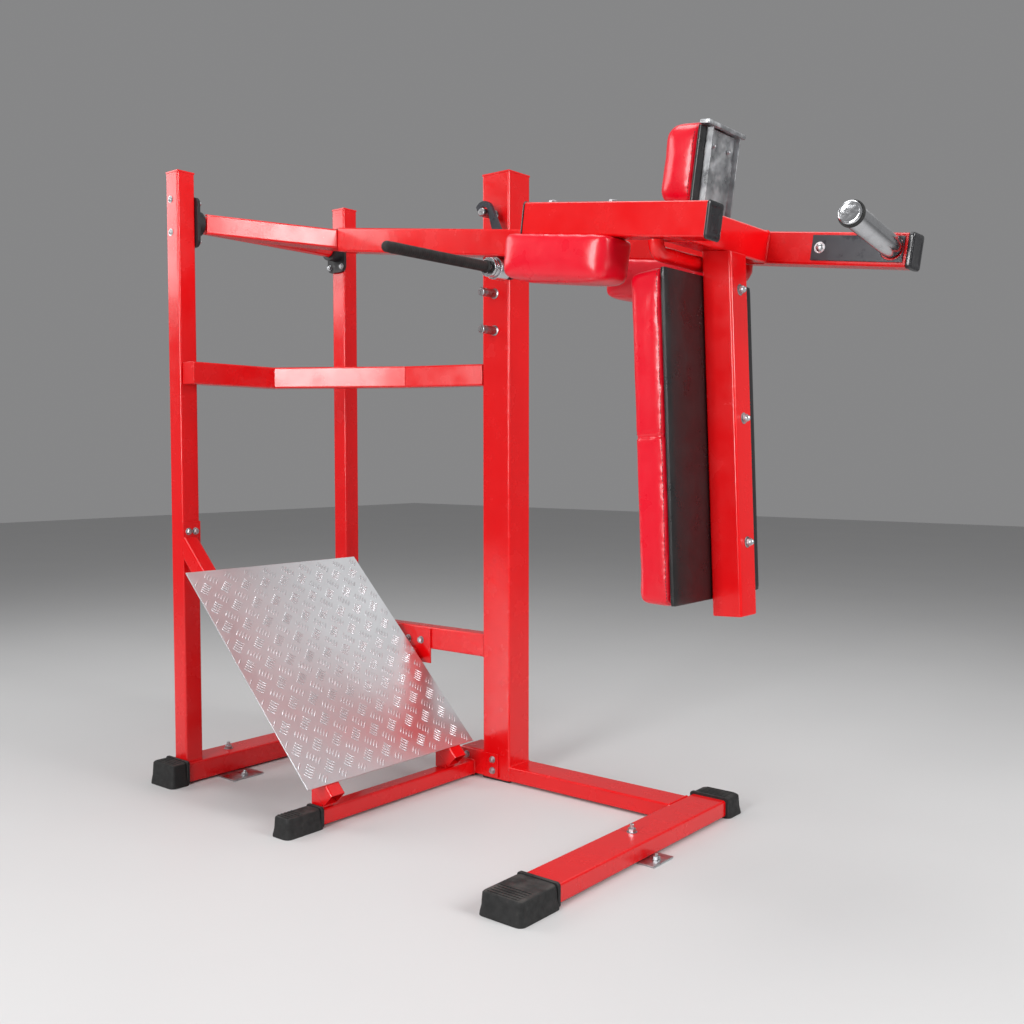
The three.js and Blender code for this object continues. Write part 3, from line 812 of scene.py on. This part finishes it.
def dome(at, direction, radius, height, rings):
    levels = []
    for step in range(rings):
        angle = step / (rings - 0.7) * math.pi / 2
        levels.append((circle(radius * math.cos(angle), 24), height * math.sin(angle)))
    return lofted(levels, basis(at, direction))


def hex_bolt(at, direction, flats=0.017, height=0.0075, stud=0.0):
    """Washer and hexagon head, or a nut on a stud when stud is given."""
    direction = Vector(direction).normalized()
    at = Vector(at)
    head = hex_part(at + direction * 0.0016, direction, flats, height)
    shapes = [washer(at, direction, flats * 0.72), head]
    if stud:
        profile = ((0.29, 0), (0.29, stud - 0.001), (0.25, stud))
        rod = [(circle(flats * scale, 16), level) for scale, level in profile]
        shapes.append(lofted(rod, basis(at + direction * height, direction)))
    else:
        shapes.append(dome(at + direction * (height + 0.0012), direction, flats * 0.40, 0.0012, 4))
    return shapes


def acorn_nut(at, direction, flats=0.017):
    direction = Vector(direction).normalized()
    at = Vector(at)
    return [washer(at, direction, flats * 0.75), hex_part(at + direction * 0.0016, direction, flats, 0.007),
            dome(at + direction * 0.008, direction, flats * 0.46, 0.0085, 8)]


def round_head(at, direction, radius=0.010):
    direction = Vector(direction).normalized()
    at = Vector(at)
    return [washer(at, direction, radius * 1.45), dome(at + direction * 0.0012, direction, radius, 0.005, 7)]


def fasteners(name, shapes, body):
    points, faces = gather(shapes)
    add_piece(name, points, faces, ZINC, body, sharp=30)


def frame_fasteners():
    shapes = []
    bar_low, bar_high = local_box("front_crossbar")
    at = ((bar_low.x + bar_high.x) / 2 - 0.0095, 0.040, bar_high.z)
    shapes += hex_bolt(at, (0, 0, 1), 0.019, 0.009, 0.012)
    rear_low, rear_high = local_box("rear_crossbar")
    at = ((rear_low.x + rear_high.x) / 2, -0.155, rear_high.z)
    shapes += hex_bolt(at, (0, 0, 1), 0.019, 0.009, 0.012)
    for tab in ("front_anchor_tab", "rear_anchor_tab"):
        low, high = local_box(tab)
        shapes += hex_bolt((high.x - 0.022, (low.y + high.y) / 2, high.z), (0, 0, 1), 0.017, 0.008, 0.008)
    flange_low, flange_high = local_box("plate_crossbar_flange")
    for x in (flange_high.x - 0.020, flange_low.x + 0.030):
        for z in (flange_low.z + 0.020, flange_high.z - 0.018):
            shapes += hex_bolt((x, flange_low.y, z), (0, -1, 0), 0.015, 0.007)
    tie_low, tie_high = local_box("runner_tie")
    for x in (tie_low.x + 0.078, tie_low.x + 0.022):
        shapes += hex_bolt((x, tie_high.y - 0.0057, tie_high.z - 0.040), (0, -1, 0), 0.017, 0.008)
    low, high = local_box("runner_bracket")
    for y in (low.y + 0.018, high.y - 0.018):
        shapes += hex_bolt((high.x, y, high.z - 0.030), (1, 0, 0), 0.015, 0.007)
    shapes += bearing_fasteners()
    fasteners("frame_bolts", shapes, "frame")


def bearing_fasteners():
    """Four bolts on each bearing's flange, and two heads on each upright's outer face."""
    shapes = []
    near_low = local_box("upright_near")[0]
    far_high = local_box("upright_far")[1]
    column = PIVOT.x - 0.0115
    for z in (PIVOT.z + 0.062, PIVOT.z - 0.035):
        shapes += round_head((column, near_low.y, z), (0, -1, 0), 0.0075)
        shapes += round_head((column, far_high.y, z), (0, 1, 0), 0.0075)
    for node, side in (("bearing_near", 1), ("bearing_far", -1)):
        low, high = local_box(node)
        face = low.y + 0.010 if side > 0 else high.y - 0.010
        for x in (PIVOT.x - 0.035, PIVOT.x + 0.025):
            for z in (low.z + 0.018, high.z - 0.018):
                shapes += hex_bolt((x, face + side * 0.0001, z), (0, side, 0), 0.013, 0.006)
    return shapes


def arm_fasteners():
    shapes = []
    arm_up = ARM.to_3x3() @ Vector((0, 0, 1))
    for beam in ("shoulder_beam", "main_beam"):
        low, high = local_box(beam, ARM)
        for x in (0.356, 0.521):
            along = (x - ARM_ORIGIN.x - high.z * math.sin(ARM_TILT)) / math.cos(ARM_TILT)
            shapes += hex_bolt(ARM @ Vector((along, (low.y + high.y) / 2, high.z)), arm_up, 0.017, 0.006)
    low, high = local_box("back_post", BACK)
    post_front = BACK.to_3x3() @ Vector((1, 0, 0))
    for share in (0.115, 0.463, 0.800):
        z = high.z - share * (high.z - low.z)
        shapes += acorn_nut(BACK @ Vector((high.x, (low.y + high.y) / 2, z)), post_front)
    low, high = local_box("head_rest_plate", ARM)
    plate_front = ARM.to_3x3() @ Vector((1, 0, 0))
    centre = (low.y + high.y) / 2
    for y in (centre - 0.033, centre + 0.033):
        shapes += round_head(ARM @ Vector((high.x, y, high.z - 0.036)), plate_front, 0.0042)
    low, high = local_box("horn_guard_plate", ARM)
    shapes += round_head(ARM @ Vector((low.x + 0.020, low.y, (low.z + high.z) / 2)), (0, -1, 0), 0.009)
    fasteners("arm_bolts", shapes, "lever_arm")


# ---- weld beads ----
def bead(route):
    """A rippled weld bead round a closed route of points."""
    radius = 0.0028
    count = 7
    total = []
    for start, end in zip(route, route[1:] + route[:1]):
        steps = max(1, int((end - start).length / 0.0026))
        total.extend(start.lerp(end, step / steps) for step in range(steps))
    rings = len(total)
    points = []
    faces = []
    for ring, place in enumerate(total):
        following = (ring + 1) % rings
        matrix = basis(place, total[following] - total[ring - 1])
        wide = radius * (1 + 0.16 * math.sin(ring * 2.1) + 0.12 * noise.noise(place * 90))
        points.extend(matrix @ Vector((*point, 0)) for point in circle(wide, count))
        for i in range(count):
            j = (i + 1) % count
            faces.append((ring * count + i, ring * count + j, following * count + j, following * count + i))
    return points, faces


def end_loop(node, axis, end, turn=WORLD):
    """The outline of a square tube's end face, as a loop of points for a bead."""
    inset = 0.0004
    radius = 0.006
    low, high = local_box(node, turn)
    u, v = (axis + 1) % 3, (axis + 2) % 3
    centre = (low + high) / 2
    loop = []
    for point in outline(high[u] - low[u] - 2 * inset, high[v] - low[v] - 2 * inset, radius, 4):
        place = centre.copy()
        place[axis] = high[axis] if end > 0 else low[axis]
        place[u] += point.x
        place[v] += point.y
        loop.append(turn @ place)
    return loop


def weld_beads():
    frame_loops = [
        end_loop("base_rail", 0, 1), end_loop("base_rail", 0, -1), end_loop("lower_rail", 0, 1),
        end_loop("lower_rail", 0, -1), end_loop("side_post_stub", 0, 1), end_loop("upright_near", 2, -1),
        end_loop("upright_far", 2, -1), end_loop("plate_crossbar", 1, 1),
    ]
    points, faces = gather([bead(loop) for loop in frame_loops])
    add_piece("frame_welds", points, faces, RED, "frame", sharp=80)
    arm_loops = [
        end_loop("cross_beam", 1, 1, ARM), end_loop("cross_beam", 1, -1, ARM),
    ]
    points, faces = gather([bead(loop) for loop in arm_loops])
    add_piece("arm_welds", points, faces, RED, "lever_arm", sharp=80)


# ---- round steel parts ----
def turned(name, at, direction, profile, material, body, replaced=None, steps=48):
    levels = [(circle(radius, steps), height) for height, radius in profile]
    points, faces = lofted(levels, basis(at, direction))
    piece = add_piece(name, points, faces, material, body, sharp=35)
    if replaced:
        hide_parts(replaced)
    return piece


def rack_pegs():
    """Steel pegs with a base ring and a turned groove near the tip."""
    for index in range(1, 5):
        node = f"rack_peg_{index}"
        low, high = local_box(node)
        centre = (low + high) / 2
        root = Vector((centre.x, high.y, centre.z))
        length = high.y - low.y
        r = (high.x - low.x) / 2
        profile = ((0, r + 0.003), (0.002, r + 0.003), (0.0035, r), (length - 0.016, r),
                   (length - 0.015, r - 0.0008), (length - 0.013, r - 0.0008), (length - 0.012, r),
                   (length - 0.0025, r),
                   (length - 0.0006, r - 0.0018), (length, r - 0.004))
        turned(f"peg_{index}", root, (0, -1, 0), profile, STEEL, "frame", node)


def weight_horn():
    """Chrome sleeve with a bright end disc, and a rubber ring near its free end."""
    tilt = math.radians(9)
    low, high = local_box("weight_horn")
    direction = Vector((0, -math.cos(tilt), math.sin(tilt)))
    centre_x = (low.x + high.x) / 2
    length = 0.240
    root = Vector((centre_x, high.y, (low.z + high.z) / 2 - 0.5 * length * math.sin(tilt)))
    r = 0.025
    sleeve = ((-0.004, r), (length - 0.013, r), (length - 0.012, r - 0.001), (length - 0.007, r - 0.001),
              (length - 0.006, r), (length - 0.0015, r - 0.0005), (length, r - 0.003), (length, r - 0.006),
              (length - 0.001, r - 0.008), (length - 0.001, 0.003))
    turned("horn_sleeve", root, direction, sleeve, CHROME, "lever_arm", "weight_horn", 64)
    ring = ((length - 0.016, r + 0.001), (length - 0.015, r + 0.0035),
            (length - 0.0095, r + 0.0035), (length - 0.0085, r + 0.001))
    turned("horn_ring", root, direction, ring, RUBBER, "lever_arm", None, 64)


def handle_grip():
    """Rubber grip with a rounded closed end, a flange ring and fine ribs."""
    low, high = local_box("handle_grip")
    r = (high.x - low.x) / 2 - 0.0008
    length = high.y - low.y
    root = Vector((HANDLE.x, high.y, HANDLE.z))
    profile = [(0.0, r - 0.003), (0.0, r + 0.002), (0.002, r + 0.004), (0.005, r + 0.004), (0.007, r)]
    rib_pitch = 0.0085
    count = int((length - 0.040) / rib_pitch)
    for index in range(count):
        start = 0.014 + index * rib_pitch
        ridge = r + 0.0007
        profile += [(start, r), (start + 0.0012, ridge), (start + 0.0042, ridge), (start + 0.0054, r)]
    for step in range(1, 8):
        angle = step / 8 * math.pi / 2
        profile.append((length - r + r * math.sin(angle), r * math.cos(angle) + 0.0002))
    turned("grip_sleeve", root, (0, -1, 0), profile, RUBBER, "lock_handle", "handle_grip", 40)


def axle_tube():
    """The torque tube with its turned shoulders."""
    low, high = local_box("torque_tube")
    root = Vector((PIVOT.x, low.y, PIVOT.z))
    length = high.y - low.y
    r = (high.x - low.x) / 2
    shaft = 0.020
    play = 0.003
    near_stub = local_box("bearing_near")[1].y + play - low.y
    far_stub = high.y - (local_box("bearing_far")[0].y - play)
    far_shoulder = length - far_stub
    profile = ((0, shaft - 0.001), (0.001, shaft), (near_stub, shaft), (near_stub, r - 0.001),
               (near_stub + 0.001, r), (far_shoulder - 0.001, r), (far_shoulder, r - 0.001),
               (far_shoulder, shaft),
               (length - 0.001, shaft), (length, shaft - 0.001))
    turned("axle", root, (0, 1, 0), profile, RED, "lever_arm", "torque_tube", 48)


def head_plate():
    """Folded zinc plate behind the head rest: a flange down each side and a lip over the top."""
    low, high = local_box("head_rest_plate", ARM)
    sheet = 0.003
    lip = 0.016
    wide = high.y - low.y
    section = [(0, 0), (lip, 0), (lip, sheet), (sheet, sheet), (sheet, wide - sheet), (lip, wide - sheet),
               (lip, wide), (0, wide)]
    section = [Vector((low.x + x, low.y + y)) for x, y in section]
    shapes = [lofted([(section, low.z), (section, high.z)], ARM)]
    pad_low, pad_high = local_box("head_rest", ARM)
    cover_rear = pad_high.x - 0.0075
    cover_front = low.x + lip
    cover = outline(cover_front - cover_rear, pad_high.y - pad_low.y - 0.012, 0.003, 3)
    centre = Vector(((cover_rear + cover_front) / 2, (low.y + high.y) / 2))
    top = pad_high.z - 0.003
    levels = [([point * scale + centre for point in cover], top + height) for scale, height in
              ((0.985, -0.0095), (1, -0.009), (1, -0.0012), (0.96, 0))]
    shapes.append(lofted(levels, ARM))
    points, faces = gather(shapes)
    piece = add_piece("head_plate", points, faces, ZINC, "lever_arm", sharp=30)
    edge = piece.modifiers.new("edge", "BEVEL")
    edge.width = 0.0006
    edge.limit_method = "ANGLE"
    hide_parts("head_rest_plate")


# ---- closing plates on open tube ends ----
def closing_plate(name, node, axis, end, body, turn=WORLD):
    """A welded plate over a tube's end, its edge rounded like the tube's corners."""
    slack = 0.0008
    thick = 0.0025
    low, high = local_box(node, turn)
    u, v = (axis + 1) % 3, (axis + 2) % 3
    centre = (low + high) / 2
    centre[axis] = high[axis] if end > 0 else low[axis]
    direction = Vector((0, 0, 0))
    direction[axis] = end
    across = Vector((0, 0, 0))
    across[u] = 1
    up = Vector((0, 0, 0))
    up[v] = 1
    ring = outline(high[u] - low[u] - 2 * slack, high[v] - low[v] - 2 * slack, 0.005, 5)
    levels = ((0.97, -thick), (1.0, -0.0004), (1.0, 0.0004), (0.985, 0.0012))
    points = []
    for scale, height in levels:
        for point in ring:
            offset = across * point.x * scale + up * point.y * scale + direction * height
            points.append(turn @ (centre + offset))
    count = len(ring)
    faces = []
    for level in range(len(levels) - 1):
        for i in range(count):
            j = (i + 1) % count
            a, b = level * count, (level + 1) * count
            faces.append((a + i, a + j, b + j, b + i))
    faces.append(tuple(reversed(range(count))))
    faces.append(tuple((len(levels) - 1) * count + i for i in range(count)))
    add_piece(name, points, faces, RED, body, sharp=35)


def closing_plates():
    closing_plate("mid_rail_end", "mid_rail_rear", 1, -1, "frame")
    closing_plate("side_post_stub_end", "side_post_stub", 0, -1, "frame")
    closing_plate("lower_rail_end", "lower_rail", 0, -1, "frame")
    closing_plate("back_post_foot", "back_post", 2, -1, "lever_arm", BACK)


# ---- stage ----
def stage():
    size = 14
    mesh = bpy.data.meshes.new("floor")
    corners = [(-size, -size, 0), (size, -size, 0), (size, size, 0), (-size, size, 0)]
    mesh.from_pydata(corners, [], [(0, 1, 2, 3)])
    mesh.materials.append(studio_floor())
    floor = bpy.data.objects.new("floor", mesh)
    bpy.context.collection.objects.link(floor)
    world = bpy.data.worlds.new("studio")
    world.use_nodes = True
    sky = world.node_tree.nodes["Background"]
    sky.inputs["Color"].default_value = (0.80, 0.80, 0.81, 1)
    sky.inputs["Strength"].default_value = 0.30
    bpy.context.scene.world = world
    bpy.context.scene.view_settings.view_transform = "Standard"


def area_light(name, place, target, size, power):
    data = bpy.data.lights.new(name, "AREA")
    data.shape = "RECTANGLE"
    data.size, data.size_y = size
    data.energy = power
    lamp = bpy.data.objects.new(name, data)
    lamp.location = place
    lamp.rotation_euler = (Vector(target) - Vector(place)).to_track_quat("-Z", "Y").to_euler()
    bpy.context.collection.objects.link(lamp)


def lights():
    area_light("near_side", (0.4, -4.4, 2.0), (-0.1, 0, 0.9), (1.3, 2.4), 150)
    area_light("front_high", (4.0, 0.4, 2.6), (0.1, 0, 0.9), (1.3, 2.2), 130)
    area_light("far_high", (-0.1, 2.7, 3.2), (-0.6, -0.07, 0.4), (3.0, 1.4), 8)
    area_light("rear_fill", (-3.5, -1.5, 2.8), (-0.3, 0, 0.9), (2.0, 2.0), 50)
    area_light("overhead", (-0.2, -0.3, 4.6), (-0.1, 0, 0.6), (2.6, 2.0), 70)


def camera():
    data = bpy.data.cameras.new("camera")
    data.sensor_width = 36
    data.lens = 38.67
    view = bpy.data.objects.new("camera", data)
    view.location = (1.9, -2.26, 1.0)
    view.rotation_euler = (math.radians(87), 0, math.radians(39.3))
    bpy.context.collection.objects.link(view)
    bpy.context.scene.camera = view


carried_steel()
back_rest()
head_rest()
shoulder_pads()
tread_bars()
boot("front_boot_near", 1)
boot("front_boot_far", -1)
boot("rear_boot_near", 1)
boot("rear_boot_far", -1)
boot("plate_crossbar_boot", 1)
end_cap("shoulder_beam_cap_front", ARM, 1, "lever_arm")
end_cap("shoulder_beam_cap_rear", ARM, -1, "lever_arm")
end_cap("main_beam_cap", ARM, 1, "lever_arm")
frame_fasteners()
arm_fasteners()
weld_beads()
rack_pegs()
weight_horn()
handle_grip()
axle_tube()
head_plate()
closing_plates()
stage()
lights()
camera()
